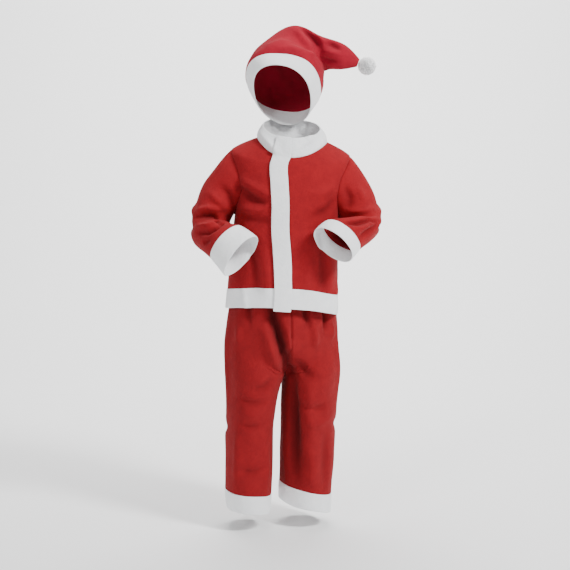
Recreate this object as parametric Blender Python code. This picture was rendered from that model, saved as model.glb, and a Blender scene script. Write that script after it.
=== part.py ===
"""A child's santa suit of hat, jacket and trousers, in the hollow form that it takes when it is worn.

Metres, +Z up, front towards -Y. Left and right are those of someone who looks at the front of the suit.
Each cut piece of cloth is a wall on a smooth form, and neighbours stop SEAM apart where they are sewn.
"""

from math import asin, copysign, cos, exp, pi, radians, sin, sqrt

import bmesh
import bpy
import numpy as np
from mathutils import Vector

# Cloth
SEAM = 0.0003                  # gap between two pieces that are sewn together
RED_WALL = 0.002               # one layer of red fleece
TRIM_WALL = 0.003              # white fleece, folded double
TRIM_PROUD = 0.001             # how far the trim's face stands out from the red cloth beside it
RED = (0.45, 0.018, 0.02, 1.0)
WHITE = (0.86, 0.87, 0.89, 1.0)

# Jacket: rings from the hem (place 0) up to the neckline (place 1)
JACKET_RINGS = (
    # place, height, half width, half depth, drop at the front, roundness, angle of the centre front, waves
    (0.00, -0.330, 0.114, 0.095, -0.019, 2.4, 0.0, 0.0022),
    (0.10, -0.291, 0.112, 0.094, -0.019, 2.4, 0.0, 0.0020),
    (0.35, -0.200, 0.107, 0.091, -0.010, 2.4, -3.0, 0.0012),
    (0.50, -0.145, 0.104, 0.089, -0.004, 2.4, -5.0, 0.0004),
    (0.62, -0.100, 0.105, 0.086, 0.004, 2.4, -6.0, 0.0),
    (0.74, -0.058, 0.110, 0.079, 0.012, 2.3, -7.5, 0.0),
    (0.84, -0.028, 0.117, 0.071, 0.018, 2.2, -9.0, 0.0),
    (0.89, -0.014, 0.117, 0.067, 0.022, 2.1, -10.0, 0.0),
    (0.94, -0.003, 0.099, 0.063, 0.027, 2.05, -11.5, 0.0),
    (1.00, 0.010, 0.070, 0.058, 0.032, 2.0, -14.0, 0.0),
)
HEM_SEAM = 0.10                # place of the hem band's seam
UNDERARM, SHOULDER = 0.50, 0.89
JACKET_ROWS = (0.10, 0.20, 0.30, 0.40, 0.50, 0.53, 0.57, 0.62, 0.68,
               0.74, 0.79, 0.84, 0.87, 0.89, 0.925, 0.96, 1.0)
ARMHOLE_GAP = 0.0009           # the sleeve's own share of the gap, where the seam turns over the shoulder
ARMHOLE_HALF = radians(30)     # half the angle that an armhole takes out of the ring
ARMHOLE_FULLNESS = 0.65        # below 1 the armhole opens quickly at its ends
JACKET_ROLL = radians(3.4)     # the right shoulder hangs lower and the hem swings to the left
JACKET_WAVES, JACKET_WAVE_START = 6, 0.7       # soft folds round the hem
NECK_DROP = 1.7                # how sharply the rings dip towards the middle of the front
JACKET_SHIFT = Vector((0.003, 0, 0))
FRONT_COLUMNS = 8
BACK_COLUMNS = 14
PLACKET_HALF = 0.017
PLACKET_BELOW = 0.015          # places that the placket hangs below the hem
PLACKET_LIFT = 0.0017          # its inner face, above the form
COLLAR_RIM = (0.057, 0.050, 0.058)     # half width, half depth in front, half depth behind
COLLAR_BULGE = 0.004
COLLAR_RIM_HEIGHT = (0.017, 0.050)     # at the front, and behind
COLLAR_RISE = 1.3              # how soon the rim rises on its way to the back
COLLAR_ROWS = 3

# Sleeves: centre, half axis away from the body, half axis towards the front
SLEEVE_LEFT = (
    # place, centre x y z, outer half axis x y z, front half axis x y z
    (0.00, -0.118, 0.002, -0.068, -0.006, 0.000, 0.064, 0.000, -0.044, 0.000),
    (0.15, -0.1420, 0.002, -0.104, -0.025, 0.000, 0.046, 0.000, -0.047, -0.002),
    (0.31, -0.1525, -0.003, -0.138, -0.035, 0.001, 0.020, 0.000, -0.046, 0.006),
    (0.47, -0.1565, -0.022, -0.164, -0.040, 0.002, -0.006, -0.002, -0.037, 0.025),
    (0.68, -0.141, -0.060, -0.176, -0.037, -0.006, -0.017, 0.000, -0.031, 0.027),
    (0.83, -0.124, -0.088, -0.182, -0.031, -0.012, -0.025, 0.001, -0.025, 0.025),
    (1.00, -0.095, -0.108, -0.207, -0.034, -0.012, -0.030, 0.003, -0.025, 0.027),
)
SLEEVE_RIGHT = (
    (0.00, 0.114, 0.002, -0.081, 0.009, 0.000, 0.064, 0.000, -0.044, 0.000),
    (0.15, 0.132, 0.002, -0.115, 0.029, 0.000, 0.044, 0.000, -0.047, -0.002),
    (0.31, 0.140, -0.003, -0.147, 0.035, 0.001, 0.018, 0.000, -0.046, 0.006),
    (0.47, 0.143, -0.024, -0.159, 0.040, 0.002, 0.003, 0.002, -0.037, 0.025),
    (0.68, 0.124, -0.066, -0.163, 0.037, 0.000, -0.012, -0.001, -0.029, 0.028),
    (0.83, 0.100, -0.096, -0.168, 0.036, -0.004, -0.018, -0.001, -0.022, 0.028),
    (1.00, 0.082, -0.116, -0.184, 0.037, -0.008, -0.019, -0.001, -0.022, 0.029),
)
CUFF_SEAM = 0.83
SLEEVE_EASE = 0.25             # place where the armhole's shape has eased into the sleeve's own
SLEEVE_ROWS = 12
ELBOW, ELBOW_REACH = 0.45, 0.15        # place of the elbow's folds, and how far they spread
ELBOW_FOLD, ELBOW_WAVE = 0.003, 0.28   # depth and spacing of the folds

# Trousers: rings of the hips, and of each leg
TROUSER_TURN = radians(13)     # they face a little to the right
TROUSER_CENTRE = Vector((-0.016, 0, 0))
HIP_RINGS = (
    # height, half width, half depth in front, half depth behind, waves
    (-0.455, 0.1140, 0.081, 0.086, 0.0),
    (-0.420, 0.1150, 0.083, 0.090, 0.0005),
    (-0.380, 0.1145, 0.085, 0.091, 0.0012),
    (-0.330, 0.1080, 0.083, 0.087, 0.0016),
    (-0.290, 0.1010, 0.078, 0.080, 0.0018),
    (-0.262, 0.0930, 0.073, 0.074, 0.0020),
    (-0.238, 0.0920, 0.072, 0.073, 0.0020),
)
LEG_LEFT = (
    # height, centre x y, half across, half deep, turn of the ring
    (-0.736, -0.0705, 0.002, 0.0445, 0.057, 1.0),
    (-0.698, -0.0705, 0.002, 0.0475, 0.058, 1.0),
    (-0.620, -0.0690, 0.001, 0.0485, 0.062, 1.0),
    (-0.550, -0.0675, 0.000, 0.0485, 0.067, 0.0),
    (-0.500, -0.0625, 0.000, 0.0530, 0.074, 0.0),
    (-0.455, -0.0570, 0.000, 0.0570, 0.082, 0.0),
)
LEG_RIGHT = (
    (-0.736, 0.0475, 0.001, 0.0470, 0.062, 23.0),
    (-0.698, 0.0490, 0.001, 0.0490, 0.062, 21.0),
    (-0.620, 0.0520, 0.000, 0.0540, 0.065, 13.0),
    (-0.550, 0.0545, 0.000, 0.0565, 0.069, 5.0),
    (-0.500, 0.0570, 0.000, 0.0565, 0.075, 1.0),
    (-0.455, 0.0570, 0.000, 0.0570, 0.082, 0.0),
)
LEG_END, LEG_SEAM, CROTCH = -0.736, -0.698, -0.455
RISE_TOP, WAIST_SEAM, WAIST_TOP = -0.385, -0.262, -0.238
HIP_ROUNDNESS, LEG_ROUNDNESS = 2.2, 2.15
LEG_TILT = {-1: 0.08, 1: 0.20}         # how much each hem drops towards the right, for its width
LEG_TILT_TOP = -0.58                   # height at which the tilt has faded out
WAIST_WAVES = 12               # gathers round the elastic
LEG_ROWS, RISE_ROWS, HIP_ROWS = 7, 4, 4
RISE_REACH = 0.6               # share of the half ring over which the curve of the crotch fades
TROUSER_COLUMNS = 7

# Hat: rings from the rim (place 0) over the crown to the end of the point (place 1)
HAT_RINGS = (
    # place, centre x y z, half axis to the left x y z, half axis to the front x y z
    (0.00, -0.015, -0.017, 0.097, -0.056, 0.000, 0.002, -0.010, -0.058, 0.061),
    (0.10, -0.013, 0.000, 0.122, -0.074, 0.000, 0.003, -0.009, -0.058, 0.060),
    (0.24, -0.0080, 0.018, 0.140, -0.0765, 0.000, 0.006, -0.003, -0.064, 0.054),
    (0.38, -0.0005, 0.026, 0.159, -0.0695, 0.000, 0.019, 0.002, -0.060, 0.037),
    (0.50, 0.013, 0.027, 0.174, -0.057, 0.000, 0.031, 0.006, -0.046, 0.022),
    (0.60, 0.0285, 0.024, 0.1855, -0.0435, 0.000, 0.0405, 0.008, -0.033, 0.012),
    (0.68, 0.046, 0.018, 0.192, -0.029, 0.000, 0.045, 0.006, -0.025, 0.004),
    (0.75, 0.0635, 0.012, 0.183, -0.0155, 0.000, 0.035, 0.004, -0.020, 0.002),
    (0.82, 0.0795, 0.006, 0.178, -0.0055, 0.000, 0.030, 0.002, -0.018, 0.001),
    (0.90, 0.100, 0.000, 0.173, 0.001, 0.000, 0.026, 0.001, -0.015, 0.000),
    (0.96, 0.1175, -0.003, 0.168, 0.0025, 0.000, 0.019, 0.000, -0.011, 0.000),
    (1.00, 0.1335, -0.004, 0.160, 0.0025, 0.000, 0.007, 0.000, -0.006, 0.000),
)
HAT_BAND_SEAM = 0.10
HAT_NAPE_PULL = 0.30           # how far the rim narrows behind, where it goes inside the collar
HAT_NAPE_TOP = 0.12            # place where that narrowing has faded out
HAT_ROUNDNESS = 2.3            # over the crown; the point is plain round
HAT_COLUMNS, HAT_ROWS = 9, 15
POMPOM_CENTRE = (0.150, -0.004, 0.154)
POMPOM_RADIUS = 0.016

STEP = 1e-3                    # step for slopes along a form


def track(rows):
    """A smooth curve through rows of values, each headed by its place, carried straight on past both ends."""
    table = np.array(rows, float)
    place, value = table[:, 0], table[:, 1:]
    slope = np.gradient(value, place, axis=0)

    def at(here):
        i = int(np.clip(np.searchsorted(place, here) - 1, 0, len(place) - 2))
        if here <= place[0]:
            return value[0] + slope[0] * (here - place[0])
        if here >= place[-1]:
            return value[-1] + slope[-1] * (here - place[-1])
        width = place[i + 1] - place[i]
        f = (here - place[i]) / width
        start = (1 + 2 * f) * (1 - f) ** 2 * value[i] + f * (1 - f) ** 2 * width * slope[i]
        end = f * f * (3 - 2 * f) * value[i + 1] + f * f * (f - 1) * width * slope[i + 1]
        return start + end

    return at


jacket_track = track(JACKET_RINGS)
sleeve_tracks = {-1: track(SLEEVE_LEFT), 1: track(SLEEVE_RIGHT)}
hip_track = track(HIP_RINGS)
leg_tracks = {-1: track(LEG_LEFT), 1: track(LEG_RIGHT)}
hat_track = track(HAT_RINGS)


def ease(f):
    """0 below 0, 1 above 1, and smooth between."""
    f = min(max(f, 0.0), 1.0)
    return f * f * (3 - 2 * f)


def between(a, b, f):
    return a + (b - a) * f


def rounded(value, power):
    """A sine or cosine raised to the power of a superellipse, with its sign."""
    return copysign(abs(value) ** (2 / power), value)


def turned(point, angle):
    """The point turned about the Z axis."""
    x = point.x * cos(angle) - point.y * sin(angle)
    y = point.x * sin(angle) + point.y * cos(angle)
    return Vector((x, y, point.z))


def slopes(surface, u, v):
    """Directions of the form along u and along v."""
    along_u = (surface(u + STEP, v) - surface(u - STEP, v)).normalized()
    along_v = (surface(u, v + STEP) - surface(u, v - STEP)).normalized()
    return along_u, along_v


def facing(surface, u, v, inside):
    """The form's normal on the side away from the point inside."""
    along_u, along_v = slopes(surface, u, v)
    normal = along_u.cross(along_v).normalized()
    middle = surface(0.5, 0.5)
    middle_u, middle_v = slopes(surface, 0.5, 0.5)
    return normal if middle_u.cross(middle_v).dot(middle - inside) > 0 else -normal


def pulled_in(surface, u, v, tube):
    """The form's point, drawn back by half a seam's gap on an edge of the piece."""
    point = surface(u, v)
    along_u, along_v = slopes(surface, u, v)
    if not tube and u in (0, 1):
        inward = (along_u - along_v * along_u.dot(along_v)).normalized()
        point += inward * SEAM / 2 * (1 if u == 0 else -1)
    if v in (0, 1):
        inward = (along_v - along_u * along_u.dot(along_v)).normalized()
        point += inward * SEAM / 2 * (1 if v == 0 else -1)
    return point


def cloth(name, surface, columns, rows, inside, wall=RED_WALL, proud=0.0, tube=False, edge=None, colour=RED):
    """A piece of cloth on a form. edge(u, v) may give the point and normal where the piece meets another form."""
    mesh = bmesh.new()
    place = mesh.verts.layers.float_vector.new("place")
    bmesh.ops.create_grid(mesh, x_segments=columns, y_segments=rows, size=0.5)
    inside = Vector(inside)
    normals = {}
    for vertex in mesh.verts:
        column = round((vertex.co.x + 0.5) * columns)
        row = round((vertex.co.y + 0.5) * rows)
        u, v = column / columns, row / rows
        met = edge(u, v) if edge else None
        point, normal = met or (pulled_in(surface, u, v, tube), facing(surface, u, v, inside))
        vertex[place] = (column, row, 0)
        normals[column, row] = normal
        vertex.co = point + normal * proud
    if tube:
        bmesh.ops.remove_doubles(mesh, verts=mesh.verts, dist=1e-6)
    grown = bmesh.ops.extrude_face_region(mesh, geom=mesh.faces[:])["geom"]
    for vertex in grown:
        if isinstance(vertex, bmesh.types.BMVert):
            column, row, _ = vertex[place]
            vertex.co -= normals[column, row] * wall
    bmesh.ops.recalc_face_normals(mesh, faces=mesh.faces)
    return finish(name, mesh, colour)


def finish(name, mesh, colour):
    """The object of a mesh, with its own material, in the suit's collection."""
    data = bpy.data.meshes.new(name)
    mesh.to_mesh(data)
    mesh.free()
    data.shade_smooth()
    data.set_sharp_from_angle(angle=radians(50))
    data.materials.append(fleece(name + "_fleece", colour))
    thing = bpy.data.objects.new(name, data)
    bpy.data.collections["santa_suit"].objects.link(thing)
    return thing


def fleece(name, colour):
    material = bpy.data.materials.new(name)
    material.use_nodes = True
    shader = material.node_tree.nodes["Principled BSDF"]
    shader.inputs["Base Color"].default_value = colour
    shader.inputs["Roughness"].default_value = 0.95
    shader.inputs["Metallic"].default_value = 0.0
    return material


# Jacket

def jacket_form(angle, place):
    """The jacket's outer face; the angle runs from the middle of the front (0) to the right side (90 degrees)."""
    height, half_width, half_depth, drop, power, _, waves = jacket_track(place)
    wave = 1 + waves * cos(JACKET_WAVES * angle + JACKET_WAVE_START) / half_depth
    x = half_width * rounded(sin(angle), power) * wave
    y = -half_depth * rounded(cos(angle), power) * wave
    z = height - drop * max(cos(angle), 0.0) ** NECK_DROP
    rolled_x = x * cos(JACKET_ROLL) + z * sin(JACKET_ROLL)
    rolled_z = -x * sin(JACKET_ROLL) + z * cos(JACKET_ROLL)
    return Vector((rolled_x, y, rolled_z)) + JACKET_SHIFT


def front_angles(place, side):
    """Angles of the centre front and of the placket's edge on one side."""
    _, half_width, _, _, power, centre, _ = jacket_track(place)
    centre = radians(centre)
    offset = half_width * rounded(sin(centre), power) + side * PLACKET_HALF
    return centre, asin(copysign((abs(offset) / half_width) ** (power / 2), offset))


def armhole(place):
    """Half the angle of the armhole's opening at a place."""
    f = (place - UNDERARM) / (SHOULDER - UNDERARM)
    return ARMHOLE_HALF * max(sin(pi * min(max(f, 0.0), 1.0)), 0.0) ** ARMHOLE_FULLNESS


def front_angle(u, place, side):
    """The angle of column u of a front: the first column is the half under the placket."""
    centre, beside = front_angles(place, side)
    side_seam = side * (pi / 2 - armhole(place))
    first = 1 / FRONT_COLUMNS
    if u < first:
        return between(centre, beside, u / first)
    return between(beside, side_seam, (u - first) / (1 - first))


def jacket_place(v):
    """The place of row v of a body panel."""
    count = len(JACKET_ROWS) - 1
    i = int(np.clip(v * count, 0, count - 1))
    return between(JACKET_ROWS[i], JACKET_ROWS[i + 1], v * count - i)


def around_jacket(u, place):
    """A point on the whole ring, from the centre front round by the left side, with the panels' own columns."""
    columns = 2 * FRONT_COLUMNS + BACK_COLUMNS
    column = u * columns
    if column < FRONT_COLUMNS:
        return jacket_form(front_angle(column / FRONT_COLUMNS, place, -1), place)
    if column > FRONT_COLUMNS + BACK_COLUMNS:
        return jacket_form(front_angle((columns - column) / FRONT_COLUMNS, place, 1), place)
    return jacket_form(back_angle((column - FRONT_COLUMNS) / BACK_COLUMNS, place), place)


def back_angle(u, place):
    """The angle of column u of the back, from the left side seam to the right one."""
    side = pi / 2 + armhole(place)
    return between(-side, side - 2 * pi, u)


def build_fronts():
    for name, side in (("jacket_front_left", -1), ("jacket_front_right", 1)):
        def surface(u, v, side=side):
            place = jacket_place(v)
            return jacket_form(front_angle(u, place, side), place)
        cloth(name, surface, FRONT_COLUMNS, len(JACKET_ROWS) - 1, (0, 0, -0.15))


def build_back():
    def surface(u, v):
        place = jacket_place(v)
        return jacket_form(back_angle(u, place), place)
    cloth("jacket_back", surface, BACK_COLUMNS, len(JACKET_ROWS) - 1, (0, 0, -0.15))


def build_hem_band():
    def surface(u, v):
        return around_jacket(u, v * HEM_SEAM)
    cloth("jacket_hem_band", surface, 2 * FRONT_COLUMNS + BACK_COLUMNS, 2, (0, 0, -0.3),
          wall=TRIM_WALL, proud=TRIM_PROUD, colour=WHITE)


def collar_form(u, v):
    """The collar's outer face, from the neckline (v 0) to its rim."""
    root = around_jacket(u, 1.0)
    flat = Vector((root.x - JACKET_SHIFT.x, root.y, 0))
    half_width, half_front, half_back = COLLAR_RIM
    _, ring_width, ring_depth, _, _, _, _ = jacket_track(1.0)
    x = flat.x / ring_width
    y = flat.y / ring_depth
    size = sqrt(x * x + y * y)
    x, y = x / size, y / size
    front, back = COLLAR_RIM_HEIGHT
    height = between(back, front, ((1 - y) / 2) ** COLLAR_RISE) - half_width * x * sin(JACKET_ROLL)
    rim = Vector((half_width * x, y * (half_front if y < 0 else half_back), height)) + JACKET_SHIFT
    point = root.lerp(rim, v)
    bulge = COLLAR_BULGE * sin(pi * min(max(v, 0.0), 1.0))
    return point + Vector((x, y, 0)) * bulge


def build_collar():
    """The collar's lower edge lies along the neckline, with the jacket's own normals."""
    def edge(u, v):
        if v > 0:
            return None
        point = around_jacket(u, 1.0)
        down = (around_jacket(u, 1.0 - STEP) - point).normalized()
        along = (around_jacket(u + STEP, 1.0) - around_jacket(u - STEP, 1.0)).normalized()
        inward = -(down - along * down.dot(along)).normalized()
        if u in (0, 1):
            point += along * SEAM / 2 * (1 if u == 0 else -1)
        normal = along.cross(down).normalized()
        normal = normal if normal.z > 0 or normal.y < 0 else -normal
        outward = Vector((point.x, point.y, 0.05))
        return point + inward * SEAM / 2, normal if normal.dot(outward) > 0 else -normal
    cloth("jacket_collar", collar_form, 2 * FRONT_COLUMNS + BACK_COLUMNS, COLLAR_ROWS, (0, 0, 0.02),
          wall=TRIM_WALL, edge=edge, colour=WHITE)


def build_placket():
    """A strip made from the points of the hem band, the fronts and the collar, moved out."""
    below = (-PLACKET_BELOW, 0.0, 0.05)
    places = below + JACKET_ROWS
    rows = len(places) - 1 + COLLAR_ROWS
    first = 1 / (2 * FRONT_COLUMNS + BACK_COLUMNS)

    def surface(u, v):
        row = v * rows
        column = (u - 0.5) * 2 * first
        ring = column % 1.0
        if row > len(places) - 1:
            return collar_form(ring, (row - len(places) + 1) / COLLAR_ROWS)
        i = int(np.clip(row, 0, len(places) - 2))
        return around_jacket(ring, between(places[i], places[i + 1], row - i))
    cloth("jacket_placket", surface, 2, rows, (0, 0, -0.15),
          wall=TRIM_WALL, proud=PLACKET_LIFT + TRIM_WALL, colour=WHITE)


# Sleeves

def armhole_point(u, side):
    """The armhole's edge on the jacket: from under the arm up the front, over the shoulder and down behind."""
    rows = [place for place in JACKET_ROWS if UNDERARM <= place <= SHOULDER]
    count = len(rows) - 1
    row = (u % 1.0) * 2 * count
    front = row <= count
    row = row if front else 2 * count - row
    i = int(np.clip(row, 0, count - 1))
    place = between(rows[i], rows[i + 1], row - i)
    angle = pi / 2 - armhole(place) if front else pi / 2 + armhole(place)
    return jacket_form(side * angle, place), side * angle, place


def sleeve_columns():
    return 2 * (len([place for place in JACKET_ROWS if UNDERARM <= place <= SHOULDER]) - 1)


def sleeve_form(side, u, place):
    """The sleeve's outer face at a place between the armhole (0) and the rim of the cuff (1)."""
    values = sleeve_tracks[side](place)
    centre, outer, front = (Vector(values[i:i + 3]) for i in (0, 3, 6))
    angle = pi - 2 * pi * u
    away = place - ELBOW
    fold = cos(away * 2 * pi / ELBOW_WAVE) * exp(-(away / ELBOW_REACH) ** 2) * max(sin(angle), 0.0)
    ring = centre + outer * cos(angle) + front * (sin(angle) - fold * ELBOW_FOLD / front.length)
    hole = armhole_point(u, side)[0]
    return hole.lerp(ring, ease(place / SLEEVE_EASE))


def build_sleeves():
    for name, side in (("left", -1), ("right", 1)):
        inside = sleeve_tracks[side](0.4)[:3]

        def surface(u, v, side=side):
            return sleeve_form(side, u, v * CUFF_SEAM)

        def edge(u, v, side=side):
            """The sleeve's head lies along the armhole, with the jacket's own normals."""
            if v > 0:
                return None
            point, angle, place = armhole_point(u, side)
            along = (armhole_point(u + STEP, side)[0] - armhole_point(u - STEP, side)[0]).normalized()
            turn = jacket_form(angle + STEP, place) - jacket_form(angle - STEP, place)
            rise = jacket_form(angle, place + STEP) - jacket_form(angle, place - STEP)
            normal = turn.cross(rise).normalized()
            inward = normal.cross(along).normalized()
            middle = Vector(sleeve_tracks[side](0.0)[:3])
            inward = inward if inward.dot(middle - point) > 0 else -inward
            return point + inward * ARMHOLE_GAP, normal

        def cuff(u, v, side=side):
            return sleeve_form(side, u, between(CUFF_SEAM, 1.0, v))
        cloth("sleeve_" + name, surface, sleeve_columns(), SLEEVE_ROWS, inside, tube=True, edge=edge)
        cloth("sleeve_cuff_" + name, cuff, sleeve_columns(), 2, sleeve_tracks[side](0.92)[:3],
              wall=TRIM_WALL, proud=TRIM_PROUD, tube=True, colour=WHITE)


# Trousers

def hip_point(side, back, u, height):
    """Half ring of the hips, from the middle (u 0) to the side seam (u 1)."""
    half_width, front_depth, back_depth, waves = hip_track(height)
    depth = back_depth if back else front_depth
    angle = u * pi / 2
    wave = 1 + waves * cos(WAIST_WAVES * angle) / depth
    x = side * half_width * rounded(sin(angle), HIP_ROUNDNESS) * wave
    y = depth * rounded(cos(angle), HIP_ROUNDNESS) * wave
    return Vector((x, y if back else -y, height))


def leg_point(side, back, u, height):
    """Half ring of a leg, from the inside seam (u 0) to the side seam (u 1)."""
    x, y, across, deep, turn = leg_tracks[side](height)
    angle = u * pi
    out = rounded(cos(angle), LEG_ROUNDNESS)
    offset = Vector((-side * across * out, deep * rounded(sin(angle), LEG_ROUNDNESS), 0))
    if not back:
        offset.y = -offset.y
    offset = turned(offset, radians(turn))
    offset.z = -LEG_TILT[side] * offset.x * ease((LEG_TILT_TOP - height) / (LEG_TILT_TOP - LEG_SEAM))
    return Vector((x, y, height)) + offset


def trouser_form(side, back, u, v):
    """A leg panel's outer face. v runs up the leg (0 to 0.5), over the rise (to 0.75) and up to the waist (1)."""
    if v <= 0.5:
        point = leg_point(side, back, u, between(LEG_SEAM, CROTCH, v * 2))
    elif v < 0.75:
        f = (v - 0.5) * 4
        away = ease(u / RISE_REACH)
        height = CROTCH + (RISE_TOP - CROTCH) * between(1 - cos(f * pi / 2), f, away)
        leg = leg_point(side, back, u, CROTCH)
        leg.z = height
        point = leg.lerp(hip_point(side, back, u, height), between(sin(f * pi / 2), ease(f), away))
    else:
        point = hip_point(side, back, u, between(RISE_TOP, WAIST_SEAM, (v - 0.75) * 4))
    return turned(point, TROUSER_TURN) + TROUSER_CENTRE


def trouser_v(v):
    """Row v of a panel on the form: few rows down the leg, more over the rise."""
    row = v * (LEG_ROWS + RISE_ROWS + HIP_ROWS)
    if row <= LEG_ROWS:
        return 0.5 * row / LEG_ROWS
    if row <= LEG_ROWS + RISE_ROWS:
        return 0.5 + 0.25 * (row - LEG_ROWS) / RISE_ROWS
    return 0.75 + 0.25 * (row - LEG_ROWS - RISE_ROWS) / HIP_ROWS


def build_trouser_panels():
    rows = LEG_ROWS + RISE_ROWS + HIP_ROWS
    sides = (("left", -1), ("right", 1))
    for (name, side), (part, back) in ((a, b) for a in sides for b in (("front", False), ("back", True))):
        def surface(u, v, side=side, back=back):
            return trouser_form(side, back, u, trouser_v(v))

        def edge(u, v, side=side, back=back):
            """Along the centre seam both halves keep the same normals, square to the seam's plane."""
            place = trouser_v(v)
            if u > 0 or place < 0.5 or v == 1:
                return None
            middle = turned(Vector((0, 1, 0)), TROUSER_TURN)
            across = turned(Vector((1, 0, 0)), TROUSER_TURN)
            point = surface(0, v)
            if place == 0.5:
                normal = Vector((0, 0, -1))
            else:
                tangent = surface(0, v + STEP) - surface(0, v - STEP)
                normal = across.cross(tangent).normalized()
                normal = normal if normal.dot(middle) * (1 if back else -1) > 0 else -normal
            return point + across * side * SEAM / 2, normal
        inside = leg_tracks[side](-0.55)
        inside = turned(Vector((inside[0], inside[1], -0.55)), TROUSER_TURN) + TROUSER_CENTRE
        cloth("trouser_" + part + "_" + name, surface, TROUSER_COLUMNS, rows, inside, edge=edge)


def around_hips(u, height):
    """A point on the whole ring of the waist, with the panels' own columns, from the centre front by the left."""
    quarter = (u % 1.0) * 4
    i = int(quarter)
    f = quarter - i
    side, back, column = ((-1, False, f), (-1, True, 1 - f), (1, True, f), (1, False, 1 - f))[i]
    return turned(hip_point(side, back, column, height), TROUSER_TURN) + TROUSER_CENTRE


def build_waist():
    def surface(u, v):
        return around_hips(u, between(WAIST_SEAM, WAIST_TOP, v))
    cloth("trouser_waist", surface, 4 * TROUSER_COLUMNS, 2, (-0.016, 0, -0.25), tube=True)


def build_trouser_cuffs():
    for name, side in (("left", -1), ("right", 1)):
        def surface(u, v, side=side):
            half = (u % 1.0) * 2
            back = half > 1
            point = leg_point(side, back, 2 - half if back else half, between(LEG_END, LEG_SEAM, v))
            return turned(point, TROUSER_TURN) + TROUSER_CENTRE
        x, y = leg_tracks[side](-0.72)[:2]
        inside = turned(Vector((x, y, -0.72)), TROUSER_TURN) + TROUSER_CENTRE
        cloth("trouser_cuff_" + name, surface, 2 * TROUSER_COLUMNS, 2, inside,
              wall=TRIM_WALL, proud=TRIM_PROUD, tube=True, colour=WHITE)


# Hat

def hat_form(angle, place):
    """The hat's outer face; angle 0 is its left outline, 90 degrees its front."""
    values = hat_track(place)
    centre, left, front = (Vector(values[i:i + 3]) for i in (0, 3, 6))
    behind = max(-sin(angle), 0.0) ** 4 * (1 - ease(place / HAT_NAPE_TOP))
    power = between(HAT_ROUNDNESS, 2.0, ease((place - 0.3) / 0.3))
    across = rounded(cos(angle), power) * (1 - HAT_NAPE_PULL * behind)
    return centre + left * across + front * rounded(sin(angle), power)


def build_hat():
    inside = Vector((0, 0.02, 0.16))
    for name, side in (("hat_front", 1), ("hat_back", -1)):
        def surface(u, v, side=side):
            return hat_form(side * u * pi, between(HAT_BAND_SEAM, 1.0, v))

        def edge(u, v, side=side, surface=surface):
            """Along the side seams the normals stay in the hat's own plane, the same for both halves."""
            if u not in (0, 1) or v == 0:
                return None
            normal = facing(surface, u, v, inside)
            normal.y = 0
            return pulled_in(surface, u, v, False) - Vector((0, side * SEAM, 0)), normal.normalized()
        cloth(name, surface, HAT_COLUMNS, HAT_ROWS, inside, edge=edge)

    def band(u, v):
        return hat_form(2 * pi * u, v * HAT_BAND_SEAM)
    cloth("hat_band", band, 2 * HAT_COLUMNS, 2, (-0.013, 0, 0.11),
          wall=TRIM_WALL, proud=TRIM_PROUD, tube=True, colour=WHITE)


def build_pompom():
    mesh = bmesh.new()
    bmesh.ops.create_icosphere(mesh, subdivisions=2, radius=POMPOM_RADIUS)
    bmesh.ops.translate(mesh, verts=mesh.verts, vec=POMPOM_CENTRE)
    finish("hat_pompom", mesh, WHITE)


def clear_scene():
    for thing in list(bpy.data.objects):
        bpy.data.objects.remove(thing)
    suit = bpy.data.collections.new("santa_suit")
    bpy.context.scene.collection.children.link(suit)


def build_suit():
    clear_scene()
    build_fronts()
    build_back()
    build_hem_band()
    build_collar()
    build_placket()
    build_sleeves()
    build_trouser_panels()
    build_waist()
    build_trouser_cuffs()
    build_hat()
    build_pompom()


build_suit()
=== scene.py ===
from math import atan, cos, pi, radians, sin

import bmesh
import bpy
import numpy as np
from mathutils import Matrix, Vector, noise
from mathutils.bvhtree import BVHTree


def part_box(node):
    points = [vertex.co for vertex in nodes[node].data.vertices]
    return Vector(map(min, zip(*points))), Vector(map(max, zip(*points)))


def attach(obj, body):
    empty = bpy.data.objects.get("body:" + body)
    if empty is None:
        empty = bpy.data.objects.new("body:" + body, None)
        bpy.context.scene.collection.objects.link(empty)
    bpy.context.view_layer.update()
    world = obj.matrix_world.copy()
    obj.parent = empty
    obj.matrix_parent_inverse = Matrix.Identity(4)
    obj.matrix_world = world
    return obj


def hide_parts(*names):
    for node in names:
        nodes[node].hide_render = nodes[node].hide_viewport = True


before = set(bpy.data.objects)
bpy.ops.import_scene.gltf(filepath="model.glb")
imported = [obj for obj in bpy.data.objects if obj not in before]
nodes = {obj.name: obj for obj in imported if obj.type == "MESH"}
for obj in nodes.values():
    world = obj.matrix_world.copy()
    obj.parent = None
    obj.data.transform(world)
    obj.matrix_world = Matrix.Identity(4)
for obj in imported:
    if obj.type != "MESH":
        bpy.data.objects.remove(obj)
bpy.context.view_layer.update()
print("frame loaded")


foldStrength = 1.9      # 1 leaves the folds as deep as their tables say


# shared cloth tools

def asFloats(mesh):
    co = np.zeros(len(mesh.vertices) * 3)
    mesh.vertices.foreach_get("co", co)
    return co.reshape(-1, 3)


def garmentTree(names):
    # one search tree over all the cut pieces of a garment, for laying folds on its face
    bm = bmesh.new()
    for name in names:
        bm.from_mesh(nodes[name].data)
    tree = BVHTree.FromBMesh(bm)
    bm.free()
    return tree


# where a fold is seen from: the start of the ray for a point of its line, and the ray's way
views = {
    "front": (lambda a, z: Vector((a, -1, z)), Vector((0, 1, 0))),
    "back": (lambda a, z: Vector((a, 1, z)), Vector((0, -1, 0))),
    "left": (lambda a, z: Vector((-1, a, z)), Vector((1, 0, 0))),
    "right": (lambda a, z: Vector((1, a, z)), Vector((-1, 0, 0))),
}


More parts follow.
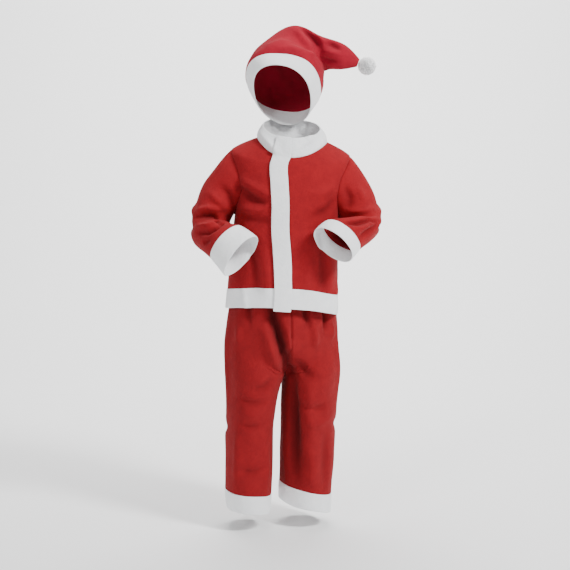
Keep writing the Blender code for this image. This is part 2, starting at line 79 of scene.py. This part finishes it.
def layFold(tree, fold, spacing=0.003):
    # points and outward directions along a fold's line on the cloth
    side, line, width, depth = fold
    start, way = views[side]
    spots = []
    for (a, z), (b, y) in zip(line, line[1:]):
        steps = max(2, int(np.hypot(b - a, y - z) / spacing))
        spots += [(a + (b - a) * k / steps, z + (y - z) * k / steps) for k in range(steps)]
    spots.append(line[-1])
    hits = [tree.ray_cast(start(a, z), way) for a, z in spots]
    found = [(hit[0], hit[1] if hit[1].dot(way) < 0 else -hit[1]) for hit in hits if hit[0] is not None]
    points = np.array([point for point, _ in found])
    out = np.array([normal for _, normal in found])
    for _ in range(4):      # even out the facets of the form
        out[1:-1] = (out[:-2] + out[1:-1] * 2 + out[2:]) / 4
    out /= np.linalg.norm(out, axis=1)[:, None]
    along = np.linspace(0, 1, len(points))
    taper = np.sin(pi * np.clip(along * 0.92 + 0.04, 0, 1)) ** 0.7
    return points, out, taper, width, depth * foldStrength


def foldCloth(co, folds):
    # every fold moves the cloth along its own outward direction, so both faces of a wall move together
    moved = co.copy()
    sunk = np.zeros(len(co))
    for points, out, taper, width, depth in folds:
        reach = width * 2.6
        near = np.where(((co > points.min(0) - reach) & (co < points.max(0) + reach)).all(1))[0]
        for part in np.array_split(near, max(1, len(near) // 4000)):
            if not len(part):
                continue
            gap = np.linalg.norm(co[part][:, None] - points[None], axis=2)
            nearest = gap.argmin(1)
            size = np.exp(-(gap.min(1) / width) ** 2) * taper[nearest] * depth
            moved[part] += out[nearest] * size[:, None]
            sunk[part] -= size
    return moved, sunk


def wander(co, amount, scale):
    # slow unevenness, the same for all that lies at one place
    shift = np.array([noise.noise_vector(Vector(p) * scale) for p in co])
    return co + shift * amount


def softCloth(name, look, folds, material):
    bm = bmesh.new()
    bm.from_mesh(nodes[name].data)
    bmesh.ops.remove_doubles(bm, verts=bm.verts, dist=1e-6)
    bmesh.ops.recalc_face_normals(bm, faces=bm.faces)
    bmesh.ops.join_triangles(bm, faces=bm.faces, angle_face_threshold=radians(50), angle_shape_threshold=radians(80))
    rims = [edge for edge in bm.edges if edge.calc_face_angle(0) > radians(50)]
    bmesh.ops.bevel(bm, geom=rims, offset=look["rim"], segments=1, profile=0.5, affect="EDGES",
                    clamp_overlap=True, material=-1)
    mesh = bpy.data.meshes.new(name + "_soft")
    bm.to_mesh(mesh)
    bm.free()
    rough = bpy.data.objects.new(name + "_rough", mesh)
    bpy.context.scene.collection.objects.link(rough)
    smooth = rough.modifiers.new("smooth", "SUBSURF")
    smooth.levels = smooth.render_levels = look["levels"]
    fine = bpy.data.meshes.new_from_object(rough.evaluated_get(bpy.context.evaluated_depsgraph_get()))
    bpy.data.objects.remove(rough)
    co, sunk = foldCloth(asFloats(fine), folds)
    co = wander(co, look["uneven"], look["unevenScale"])
    fine.vertices.foreach_set("co", co.ravel())
    hollow = fine.attributes.new("hollow", "FLOAT", "POINT")       # painted shade: the colour darkens where a fold sank the cloth
    hollow.data.foreach_set("value", np.clip(sunk / look["hollow"], 0, 1).astype(np.float32))
    fine.shade_smooth()
    fine.materials.clear()
    fine.materials.append(material)
    fine.name = name + "_soft"
    piece = bpy.data.objects.new(name + "_soft", fine)
    bpy.context.scene.collection.objects.link(piece)
    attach(piece, "root")
    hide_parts(name)
    return piece


def addGarment(cuts, folds, red):
    tree = garmentTree(cuts)
    laid = [layFold(tree, fold) for fold in folds]
    for name in cuts:
        cut = cuts[name]
        white = name in whitePieces
        look = dict(whiteLook if white else redLook)
        if cut.get("hidden"):
            look["levels"] = 1
        piece = softCloth(name, look, laid, whiteFleece if white else red)


# fleece

# rounding of the cut edges, smoothing steps, unevenness, and the fold depth at which the painted fold shade is at its
# darkest
redLook = {"rim": 0.0006, "levels": 3, "uneven": 0.0022, "unevenScale": 17, "hollow": 0.016}
whiteLook = {"rim": 0.0010, "levels": 3, "uneven": 0.0022, "unevenScale": 17, "hollow": 0.016}
whitePieces = ["jacket_collar", "jacket_placket", "jacket_hem_band", "sleeve_cuff_left", "sleeve_cuff_right",
               "trouser_cuff_left", "trouser_cuff_right", "hat_band"]

# the last value of each pile sets how dark the painted shade in the folds gets, as a share of the worn colour
redPile = {"colour": (0.27, 0.008, 0.012), "worn": (0.225, 0.007, 0.011), "sheen": 0.10, "tint": (1.0, 0.30, 0.28),
           "pile": 1100, "pileDepth": 0.0005, "nap": 210, "napDepth": 0.0009, "foldShadeScale": 0.35}
hatPile = dict(redPile, colour=(0.30, 0.008, 0.022), worn=(0.25, 0.007, 0.019))
trouserPile = dict(redPile, colour=(0.235, 0.008, 0.011), worn=(0.195, 0.007, 0.010))
whitePile = {"colour": (0.93, 0.94, 0.95), "worn": (0.86, 0.88, 0.90), "sheen": 0.35, "tint": (1.0, 1.0, 1.0),
             "pile": 800, "pileDepth": 0.0008, "nap": 150, "napDepth": 0.0016, "foldShadeScale": 0.80}

yarnPile = dict(whitePile, colour=(0.98, 0.98, 0.98), worn=(0.95, 0.95, 0.96), napDepth=0.0003, pileDepth=0.0003)


def fleece(name, pile):
    material = bpy.data.materials.new(name)
    material.use_nodes = True
    tree = material.node_tree
    link = tree.links.new
    shader = tree.nodes["Principled BSDF"]
    shader.inputs["Roughness"].default_value = 0.92
    shader.inputs["Sheen Weight"].default_value = pile["sheen"]
    shader.inputs["Sheen Roughness"].default_value = 0.45
    shader.inputs["Sheen Tint"].default_value = (*pile["tint"], 1)
    shader.inputs["Specular IOR Level"].default_value = 0.15
    place = tree.nodes.new("ShaderNodeTexCoord")

    def grain(scale, detail, rough):
        texture = tree.nodes.new("ShaderNodeTexNoise")
        texture.inputs["Scale"].default_value = scale
        texture.inputs["Detail"].default_value = detail
        texture.inputs["Roughness"].default_value = rough
        link(place.outputs["Object"], texture.inputs["Vector"])
        return texture.outputs["Fac"]

    def raised(height, distance, strength, under=None):
        bump = tree.nodes.new("ShaderNodeBump")
        bump.inputs["Distance"].default_value = distance
        bump.inputs["Strength"].default_value = strength
        link(height, bump.inputs["Height"])
        if under:
            link(under, bump.inputs["Normal"])
        return bump.outputs["Normal"]

    nap = raised(grain(pile["nap"], 3, 0.6), pile["napDepth"], 0.7)
    link(raised(grain(pile["pile"], 2, 0.6), pile["pileDepth"], 0.8, nap), shader.inputs["Normal"])
    worn = tree.nodes.new("ShaderNodeMix")
    worn.data_type = "RGBA"
    worn.inputs[6].default_value = (*pile["colour"], 1)
    worn.inputs[7].default_value = (*pile["worn"], 1)
    patches = tree.nodes.new("ShaderNodeMapRange")
    patches.inputs["From Min"].default_value = 0.35
    patches.inputs["From Max"].default_value = 0.75
    link(grain(70, 4, 0.65), patches.inputs["Value"])
    link(patches.outputs["Result"], worn.inputs[0])
    # painted shade in the folds: the deeper the cloth sank there, the darker its colour, down to a set share of the
    # worn colour
    hollow = tree.nodes.new("ShaderNodeAttribute")
    hollow.attribute_name = "hollow"
    foldShaded = tree.nodes.new("ShaderNodeMix")
    foldShaded.data_type = "RGBA"
    foldShaded.inputs[7].default_value = (*(value * pile["foldShadeScale"] for value in pile["worn"]), 1)
    link(hollow.outputs["Fac"], foldShaded.inputs[0])
    link(worn.outputs[2], foldShaded.inputs[6])
    link(foldShaded.outputs[2], shader.inputs["Base Color"])
    return material


jacketFleece = fleece("jacket_fleece", redPile)
trouserFleece = fleece("trouser_fleece", trouserPile)
hatFleece = fleece("hat_fleece", hatPile)
yarn = fleece("pompom_yarn", yarnPile)
whiteFleece = fleece("white_fleece", whitePile)


# jacket

jacketCuts = {
    "jacket_front_left": {"flat": (0.14, 0.30), "sewnTo": ["jacket_back", "jacket_collar"], "area": 0.037},
    "jacket_front_right": {"flat": (0.17, 0.30), "sewnTo": ["jacket_back", "jacket_collar"], "area": 0.043},
    "jacket_back": {"flat": (0.31, 0.31), "sewnTo": ["jacket_collar"], "area": 0.087},
    "jacket_hem_band": {"flat": (0.66, 0.041), "sewnTo": ["jacket_front_left", "jacket_front_right", "jacket_back"]},
    "jacket_collar": {"flat": (0.38, 0.038), "sewnTo": ["jacket_front_left", "jacket_front_right", "jacket_back"]},
    "jacket_placket": {"flat": (0.034, 0.36), "sewnTo": ["jacket_front_left", "jacket_front_right"]},
    "sleeve_left": {"flat": (0.29, 0.20), "sewnTo": ["jacket_front_left", "jacket_back"], "area": 0.050},
    "sleeve_right": {"flat": (0.27, 0.19), "sewnTo": ["jacket_front_right", "jacket_back"], "area": 0.046},
    "sleeve_cuff_left": {"flat": (0.24, 0.044), "sewnTo": ["sleeve_left"]},
    "sleeve_cuff_right": {"flat": (0.24, 0.031), "sewnTo": ["sleeve_right"]},
}

# seen from, line of (across, height), width, and how far the cloth rises (or sinks)
jacketFolds = [
    ("front", [(-0.104, -0.078), (-0.080, -0.094), (-0.046, -0.112)], 0.0095, -0.0046),   # drag from the armhole
    ("front", [(-0.100, -0.062), (-0.074, -0.074), (-0.040, -0.090)], 0.0100, 0.0030),
    ("front", [(-0.100, -0.118), (-0.072, -0.122), (-0.036, -0.110)], 0.0080, 0.0034),
    ("front", [(-0.098, -0.134), (-0.070, -0.142), (-0.040, -0.140)], 0.0085, -0.0026),
    ("front", [(-0.086, -0.180), (-0.070, -0.230), (-0.066, -0.280)], 0.0110, -0.0034),
    ("front", [(-0.050, -0.200), (-0.044, -0.250), (-0.045, -0.292)], 0.0120, 0.0026),
    ("front", [(0.030, -0.160), (0.034, -0.220), (0.031, -0.280)], 0.0130, 0.0026),
    ("front", [(0.058, -0.150), (0.066, -0.220), (0.070, -0.290)], 0.0110, -0.0036),
    ("front", [(0.090, -0.100), (0.070, -0.124), (0.040, -0.134)], 0.0095, -0.0030),
    ("front", [(0.092, -0.074), (0.066, -0.088), (0.034, -0.092)], 0.0100, 0.0024),
    ("front", [(-0.094, -0.270), (-0.084, -0.320)], 0.0090, 0.0022),
    ("front", [(0.094, -0.260), (0.088, -0.335)], 0.0090, 0.0024),
    ("front", [(-0.186, -0.138), (-0.168, -0.135), (-0.150, -0.137), (-0.130, -0.146)], 0.0052, -0.0052),   # elbow
    ("front", [(-0.182, -0.126), (-0.160, -0.120), (-0.136, -0.124)], 0.0064, 0.0038),
    ("front", [(-0.180, -0.166), (-0.160, -0.164), (-0.140, -0.152), (-0.124, -0.140)], 0.0050, -0.0048),
    ("front", [(-0.182, -0.154), (-0.160, -0.151), (-0.142, -0.143)], 0.0052, 0.0034),
    ("front", [(-0.170, -0.184), (-0.152, -0.174)], 0.0056, -0.0030),
    ("front", [(-0.136, -0.076), (-0.122, -0.092), (-0.108, -0.118)], 0.0072, -0.0036),
    ("front", [(-0.158, -0.088), (-0.142, -0.104), (-0.122, -0.126)], 0.0080, 0.0030),
    ("front", [(0.106, -0.140), (0.132, -0.142), (0.156, -0.138), (0.174, -0.146)], 0.0050, -0.0054),
    ("front", [(0.110, -0.126), (0.136, -0.126), (0.164, -0.122)], 0.0066, 0.0036),
    ("front", [(0.134, -0.168), (0.152, -0.160), (0.172, -0.152)], 0.0048, -0.0044),
    ("front", [(0.126, -0.154), (0.150, -0.150)], 0.0050, 0.0030),
    ("front", [(0.108, -0.078), (0.116, -0.100), (0.112, -0.122)], 0.0072, -0.0034),
    ("front", [(0.134, -0.078), (0.144, -0.104)], 0.0080, 0.0026),
    ("back", [(-0.100, -0.070), (-0.060, -0.096), (-0.020, -0.104)], 0.0110, -0.0034),
    ("back", [(0.098, -0.080), (0.060, -0.104), (0.024, -0.110)], 0.0110, -0.0034),
    ("back", [(-0.066, -0.170), (-0.060, -0.230), (-0.064, -0.300)], 0.0130, 0.0036),
    ("back", [(-0.030, -0.190), (-0.034, -0.250), (-0.030, -0.310)], 0.0120, -0.0038),
    ("back", [(0.008, -0.160), (0.012, -0.230), (0.008, -0.305)], 0.0130, 0.0034),
    ("back", [(0.044, -0.190), (0.040, -0.250), (0.046, -0.315)], 0.0120, -0.0038),
    ("back", [(0.076, -0.200), (0.080, -0.300)], 0.0110, 0.0030),
    ("back", [(-0.170, -0.130), (-0.150, -0.146), (-0.132, -0.150)], 0.0070, 0.0032),
    ("back", [(0.160, -0.136), (0.142, -0.152), (0.122, -0.156)], 0.0070, 0.0032),
    ("back", [(-0.150, -0.080), (-0.124, -0.104)], 0.0085, -0.0032),
    ("back", [(0.142, -0.090), (0.118, -0.114)], 0.0085, -0.0032),
    ("left", [(0.030, -0.110), (0.008, -0.124), (-0.024, -0.132)], 0.0075, 0.0034),
    ("left", [(0.020, -0.146), (-0.012, -0.156), (-0.040, -0.164)], 0.0065, -0.0040),
    ("right", [(0.030, -0.116), (0.006, -0.128), (-0.026, -0.136)], 0.0075, 0.0034),
    ("right", [(0.018, -0.150), (-0.014, -0.158), (-0.044, -0.162)], 0.0065, -0.0040),
    ("front", [(-0.060, 0.026), (-0.034, 0.000), (-0.022, -0.016)], 0.0070, 0.0026),   # collar
    ("front", [(0.060, 0.024), (0.046, 0.004), (0.022, -0.010)], 0.0062, -0.0030),
    ("front", [(0.048, 0.030), (0.034, 0.010)], 0.0060, 0.0024),
    ("back", [(-0.036, 0.040), (-0.026, 0.020)], 0.0080, -0.0022),
    ("back", [(0.030, 0.040), (0.022, 0.016)], 0.0080, -0.0022),
]

addGarment(jacketCuts, jacketFolds, jacketFleece)
print("jacket done")


# trousers

trouserCuts = {
    "trouser_front_left": {"flat": (0.185, 0.435), "sewnTo": ["trouser_waist"], "area": 0.076},
    "trouser_front_right": {"flat": (0.19, 0.435), "sewnTo": ["trouser_waist"], "area": 0.078},
    "trouser_back_left": {"flat": (0.185, 0.435), "sewnTo": ["trouser_waist"], "area": 0.077},
    "trouser_back_right": {"flat": (0.19, 0.435), "sewnTo": ["trouser_waist"], "area": 0.079},
    "trouser_waist": {"flat": (0.53, 0.025), "sewnTo": [], "held": "gathered", "hidden": True},
    "trouser_cuff_left": {"flat": (0.325, 0.038), "sewnTo": ["trouser_front_left", "trouser_back_left"]},
    "trouser_cuff_right": {"flat": (0.345, 0.038), "sewnTo": ["trouser_front_right", "trouser_back_right"]},
}

trouserFolds = [
    ("front", [(-0.036, -0.290), (-0.032, -0.330), (-0.022, -0.368), (-0.009, -0.410), (-0.003, -0.450)],
     0.0100, -0.0105),      # the long fold beside the centre seam
    ("front", [(-0.062, -0.348), (-0.052, -0.350), (-0.036, -0.395), (-0.020, -0.440)], 0.0110, 0.0050),
    ("front", [(-0.006, -0.348), (-0.004, -0.360), (0.000, -0.400)], 0.0060, 0.0030),
    ("front", [(0.003, -0.300), (0.004, -0.360), (0.001, -0.440)], 0.0026, -0.0022),   # centre seam
    ("front", [(0.026, -0.300), (0.031, -0.330), (0.040, -0.356)], 0.0062, -0.0052),   # gathers under the hem
    ("front", [(0.046, -0.350), (0.050, -0.366), (0.054, -0.392)], 0.0078, 0.0036),
    ("front", [(0.068, -0.300), (0.071, -0.336), (0.070, -0.366)], 0.0058, -0.0050),
    ("front", [(0.083, -0.350), (0.084, -0.384)], 0.0075, 0.0030),
    ("front", [(-0.082, -0.300), (-0.080, -0.345)], 0.0070, -0.0034),
    ("front", [(-0.100, -0.350), (-0.102, -0.386)], 0.0080, 0.0026),
    ("front", [(0.014, -0.420), (0.030, -0.446), (0.050, -0.452)], 0.0090, -0.0034),
    ("front", [(-0.030, -0.452), (-0.052, -0.470), (-0.074, -0.474)], 0.0085, -0.0030),
    ("front", [(-0.100, -0.494), (-0.078, -0.500), (-0.050, -0.502)], 0.0060, -0.0026),
    ("front", [(-0.096, -0.548), (-0.074, -0.552), (-0.054, -0.548)], 0.0060, -0.0024),
    ("front", [(-0.092, -0.524), (-0.060, -0.526)], 0.0100, 0.0022),
    ("front", [(-0.098, -0.640), (-0.072, -0.648), (-0.052, -0.642)], 0.0075, -0.0026),
    ("front", [(-0.106, -0.560), (-0.104, -0.620), (-0.108, -0.680)], 0.0110, 0.0024),
    ("front", [(-0.050, -0.580), (-0.046, -0.640), (-0.050, -0.690)], 0.0100, 0.0028),
    ("front", [(0.018, -0.512), (0.044, -0.522), (0.074, -0.514)], 0.0085, -0.0034),
    ("front", [(0.030, -0.546), (0.056, -0.552), (0.080, -0.542)], 0.0080, 0.0026),
    ("front", [(0.005, -0.446), (0.004, -0.490), (0.006, -0.540), (0.009, -0.600), (0.012, -0.670)], 0.0140, -0.0080),
    ("front", [(0.040, -0.470), (0.040, -0.520), (0.046, -0.590)], 0.0130, 0.0036),
    ("front", [(0.040, -0.590), (0.046, -0.640), (0.040, -0.690)], 0.0120, 0.0028),
    ("front", [(0.074, -0.570), (0.070, -0.640), (0.072, -0.690)], 0.0100, -0.0026),
    ("back", [(-0.090, -0.300), (-0.086, -0.350), (-0.070, -0.400)], 0.0100, -0.0040),
    ("back", [(-0.056, -0.352), (-0.054, -0.386)], 0.0090, 0.0036),
    ("back", [(-0.022, -0.300), (-0.028, -0.370), (-0.030, -0.430)], 0.0090, -0.0036),
    ("back", [(0.020, -0.300), (0.014, -0.380), (-0.006, -0.440)], 0.0100, -0.0040),
    ("back", [(0.052, -0.348), (0.050, -0.380)], 0.0090, 0.0036),
    ("back", [(-0.034, -0.455), (-0.060, -0.480), (-0.088, -0.490)], 0.0100, -0.0044),
    ("back", [(-0.010, -0.455), (0.016, -0.482), (0.050, -0.494)], 0.0100, -0.0044),
    ("back", [(-0.100, -0.540), (-0.070, -0.556), (-0.044, -0.550)], 0.0080, -0.0036),
    ("back", [(-0.098, -0.566), (-0.070, -0.580)], 0.0090, 0.0028),
    ("back", [(0.006, -0.545), (0.036, -0.560), (0.066, -0.552)], 0.0080, -0.0036),
    ("back", [(0.010, -0.572), (0.050, -0.586)], 0.0090, 0.0028),
    ("back", [(-0.076, -0.600), (-0.080, -0.690)], 0.0120, 0.0030),
    ("back", [(0.030, -0.610), (0.026, -0.690)], 0.0120, 0.0030),
    ("left", [(-0.040, -0.348), (-0.030, -0.420), (-0.034, -0.520)], 0.0120, 0.0026),
    ("left", [(0.020, -0.340), (0.024, -0.440)], 0.0110, -0.0030),
    ("left", [(-0.030, -0.560), (0.010, -0.572), (0.040, -0.560)], 0.0090, -0.0030),
    ("right", [(-0.020, -0.348), (-0.014, -0.430), (-0.020, -0.520)], 0.0120, 0.0026),
    ("right", [(0.040, -0.340), (0.044, -0.440)], 0.0110, -0.0030),
    ("right", [(-0.020, -0.556), (0.020, -0.570), (0.050, -0.556)], 0.0090, -0.0030),
]

addGarment(trouserCuts, trouserFolds, trouserFleece)
print("trousers done")


# hat

hatCuts = {
    "hat_front": {"flat": (0.20, 0.27), "sewnTo": ["hat_back", "hat_band"], "area": 0.023},
    "hat_back": {"flat": (0.25, 0.29), "sewnTo": ["hat_front", "hat_band"], "area": 0.036},
    "hat_band": {"flat": (0.42, 0.037), "sewnTo": ["hat_front", "hat_back"]},
}

hatFolds = [
    ("front", [(0.022, 0.230), (0.034, 0.218), (0.048, 0.204), (0.060, 0.186)], 0.0066, -0.0050),   # from the top
    ("front", [(0.012, 0.226), (0.024, 0.208), (0.038, 0.190), (0.048, 0.168)], 0.0090, 0.0032),
    ("front", [(0.044, 0.216), (0.058, 0.205), (0.070, 0.198)], 0.0052, 0.0030),
    ("front", [(0.066, 0.198), (0.080, 0.196), (0.096, 0.186)], 0.0052, -0.0034),
    ("front", [(0.062, 0.186), (0.080, 0.180), (0.100, 0.176)], 0.0060, 0.0026),
    ("front", [(0.064, 0.170), (0.076, 0.164), (0.092, 0.162)], 0.0050, -0.0028),
    ("front", [(-0.050, 0.190), (-0.020, 0.200), (0.006, 0.200)], 0.0120, 0.0022),
    ("front", [(-0.060, 0.176), (-0.030, 0.182), (0.004, 0.180), (0.030, 0.166)], 0.0090, -0.0020),
    ("back", [(0.020, 0.222), (0.040, 0.196), (0.056, 0.172)], 0.0080, -0.0046),
    ("back", [(-0.020, 0.204), (0.010, 0.180), (0.034, 0.150)], 0.0120, 0.0034),
    ("back", [(-0.050, 0.176), (-0.020, 0.150), (0.006, 0.110)], 0.0110, -0.0030),
    ("back", [(-0.060, 0.140), (-0.040, 0.110), (-0.030, 0.080)], 0.0110, 0.0026),
    ("back", [(0.066, 0.192), (0.084, 0.184), (0.102, 0.178)], 0.0056, -0.0030),
    ("right", [(0.040, 0.180), (0.036, 0.150), (0.020, 0.120)], 0.0100, -0.0030),
    ("left", [(0.050, 0.190), (0.044, 0.150), (0.030, 0.110)], 0.0110, 0.0026),
]

addGarment(hatCuts, hatFolds, hatFleece)
print("hat done")


# pompom: a lumpy ball under tufts of cut yarn

pompom = {"tufts": 1500, "tuftLength": 0.0075, "tuftRoot": 0.00075, "core": 0.92, "lumps": 0.0042,
          "lumpScale": 230, "reach": 1.15, "glow": 0.6, "seed": 4}


def addPompom():
    shader = yarn.node_tree.nodes["Principled BSDF"]
    shader.inputs["Subsurface Weight"].default_value = pompom["glow"]       # light comes through loose fibre
    shader.inputs["Subsurface Radius"].default_value = (1, 1, 1)
    shader.inputs["Subsurface Scale"].default_value = pompom["tuftLength"]
    low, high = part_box("hat_pompom")
    centre = (low + high) / 2
    radius = (high - low).x / 2
    luck = np.random.default_rng(pompom["seed"])
    bm = bmesh.new()
    bmesh.ops.create_icosphere(bm, subdivisions=5, radius=radius * pompom["core"])
    for vertex in bm.verts:
        vertex.co += vertex.normal * noise.noise(vertex.co * pompom["lumpScale"]) * pompom["lumps"]
    for k in range(pompom["tufts"]):
        z = 1 - 2 * (k + 0.5) / pompom["tufts"]
        turn = k * pi * (3 - 5 ** 0.5)
        flat = (1 - z * z) ** 0.5
        way = Vector((flat * cos(turn), flat * sin(turn), z)) + Vector(luck.normal(0, 0.22, 3))
        way.normalize()
        length = pompom["tuftLength"] * luck.uniform(0.7, 1.0)
        foot = radius * (pompom["reach"] + luck.normal(0, 0.045)) - length
        lean = (way + Vector(luck.normal(0, 0.24, 3))).normalized()
        turned = lean.to_track_quat("Z", "Y").to_matrix().to_4x4()
        place = Matrix.Translation(way * foot + lean * length / 2) @ turned
        bmesh.ops.create_cone(bm, segments=4, radius1=pompom["tuftRoot"], radius2=pompom["tuftRoot"] * 0.45,
                              depth=length, matrix=place, cap_ends=True, cap_tris=True)
    bmesh.ops.translate(bm, verts=bm.verts, vec=centre)
    mesh = bpy.data.meshes.new("hat_pompom_soft")
    bm.to_mesh(mesh)
    bm.free()
    mesh.shade_smooth()
    mesh.materials.append(yarn)
    ball = bpy.data.objects.new("hat_pompom_soft", mesh)
    bpy.context.scene.collection.objects.link(ball)
    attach(ball, "root")
    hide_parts("hat_pompom")


addPompom()
print("pompom done")


# studio

studio = {"floor": -0.775, "pale": (0.95, 0.95, 0.95), "world": 0.42, "bend": 1.2, "wallAt": 1.6}


def addFloor():
    bm = bmesh.new()
    bmesh.ops.create_grid(bm, x_segments=2, y_segments=80, size=4)
    for vertex in bm.verts:
        over = vertex.co.y - studio["wallAt"]
        if over > 0:        # the floor turns up into the wall behind
            angle = min(over / studio["bend"], pi / 2)
            vertex.co.y = studio["wallAt"] + studio["bend"] * sin(angle)
            vertex.co.z = studio["bend"] * (1 - cos(angle)) + max(over - studio["bend"] * pi / 2, 0)
    bmesh.ops.translate(bm, verts=bm.verts, vec=(0, 0, studio["floor"]))
    mesh = bpy.data.meshes.new("floor")
    bm.to_mesh(mesh)
    bm.free()
    mesh.shade_smooth()
    material = bpy.data.materials.new("floor_paper")
    material.use_nodes = True
    shader = material.node_tree.nodes["Principled BSDF"]
    shader.inputs["Base Color"].default_value = (*studio["pale"], 1)
    shader.inputs["Roughness"].default_value = 0.9
    mesh.materials.append(material)
    floor = bpy.data.objects.new("floor", mesh)
    bpy.context.scene.collection.objects.link(floor)


def addLight(name, place, aim, size, power):
    lamp = bpy.data.lights.new(name, "AREA")
    lamp.shape = "DISK"
    lamp.size = size
    lamp.energy = power
    light = bpy.data.objects.new(name, lamp)
    light.location = place
    light.rotation_euler = (Vector(aim) - Vector(place)).to_track_quat("-Z", "Y").to_euler()
    bpy.context.scene.collection.objects.link(light)


lights = {
    "key": ((1.9, -1.5, 1.7), (0, 0, -0.25), 0.7, 125),
    "fill": ((-1.5, -2.2, 1.1), (0, 0, -0.25), 1.0, 26),
    "top": ((-0.3, 0.3, 2.3), (0, 0, -0.25), 1.2, 24),
    "wall": ((0, 0.9, 1.9), (0, 2.9, 0.4), 1.6, 130),
}

camera = {"place": (-0.010, -2.9, 0.175), "tilt": 81.1, "halfView": 0.19421}

addFloor()
for name, (place, aim, size, power) in lights.items():
    addLight(name, place, aim, size, power)
world = bpy.data.worlds.new("studio")
world.use_nodes = True
world.node_tree.nodes["Background"].inputs["Color"].default_value = (1, 1, 1, 1)
world.node_tree.nodes["Background"].inputs["Strength"].default_value = studio["world"]
bpy.context.scene.world = world
lens = bpy.data.cameras.new("camera")
lens.sensor_fit = "HORIZONTAL"
lens.angle = 2 * atan(camera["halfView"])
eye = bpy.data.objects.new("camera", lens)
eye.location = camera["place"]
eye.rotation_euler = (radians(camera["tilt"]), 0, 0)
bpy.context.scene.collection.objects.link(eye)
bpy.context.scene.camera = eye
print("studio done")
